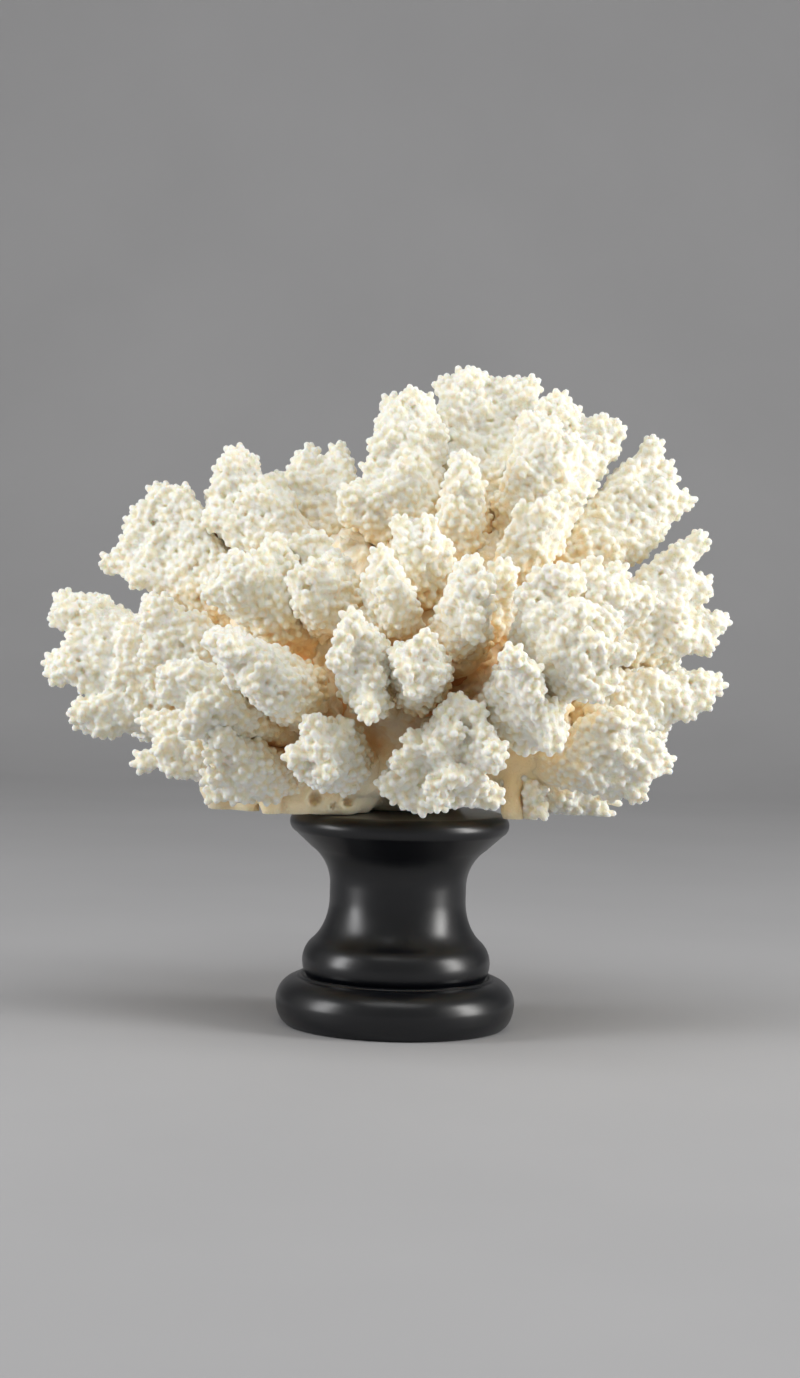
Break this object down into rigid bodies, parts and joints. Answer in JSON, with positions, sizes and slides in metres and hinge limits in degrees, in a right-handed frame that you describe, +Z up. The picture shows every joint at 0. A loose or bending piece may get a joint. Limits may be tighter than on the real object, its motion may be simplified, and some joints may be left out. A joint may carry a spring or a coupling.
{
  "type": "branching coral on a turned stand",
  "caption": "Bleached colony of cauliflower-like branching coral, cut flat underneath and resting on a black turned wooden stand.",
  "frame": {"origin": "middle of the stand's foot, on the surface that it stands on", "axes": "+Z up along the stand's turning axis, -Y towards the front of the colony as pictured, +X to its right"},
  "size_m": [0.2061, 0.1653, 0.2007],
  "materials": {
    "coral": "matte, chalky, bleached white tips over cream hollows",
    "stand": "turned wood painted satin black"
  },
  "bodies": {
    "root": {"stand": "stand", "coral_trunk": "coral", "branch_far_left": "coral", "branch_upper_left": "coral", "branch_left_rib": "coral", "branch_left_tall": "coral", "branch_left_rear": "coral", "branch_crown_left": "coral", "branch_crown": "coral", "branch_crown_front": "coral", "branch_crown_right": "coral", "branch_crown_low": "coral", "branch_centre_top": "coral", "branch_centre_left": "coral", "branch_left_centre": "coral", "branch_left_centre_up": "coral", "branch_front_left_up": "coral", "branch_front_left": "coral", "branch_lower_left": "coral", "branch_lower_left_front": "coral", "branch_front_left_low": "coral", "branch_front_centre_left": "coral", "branch_front_centre": "coral", "branch_centre_oval": "coral", "branch_centre_right": "coral", "branch_front_right": "coral", "branch_front_right_low": "coral", "branch_right_centre": "coral", "branch_right_upper": "coral", "branch_right": "coral", "branch_right_lower": "coral", "branch_lower_right": "coral", "branch_right_foot": "coral", "branch_foot_post": "coral", "branch_front_foot": "coral", "branch_rear_far_left": "coral", "branch_rear_left": "coral", "branch_rear_upper_left": "coral", "branch_rear_top": "coral", "branch_rear_upper_right": "coral", "branch_rear_right": "coral", "branch_rear_far_right": "coral", "branch_rear_middle_left": "coral", "branch_rear_middle": "coral", "branch_rear_middle_right": "coral", "branch_rear_low_left": "coral", "branch_rear_low": "coral", "branch_rear_low_right": "coral"}
  },
  "joints": []
}
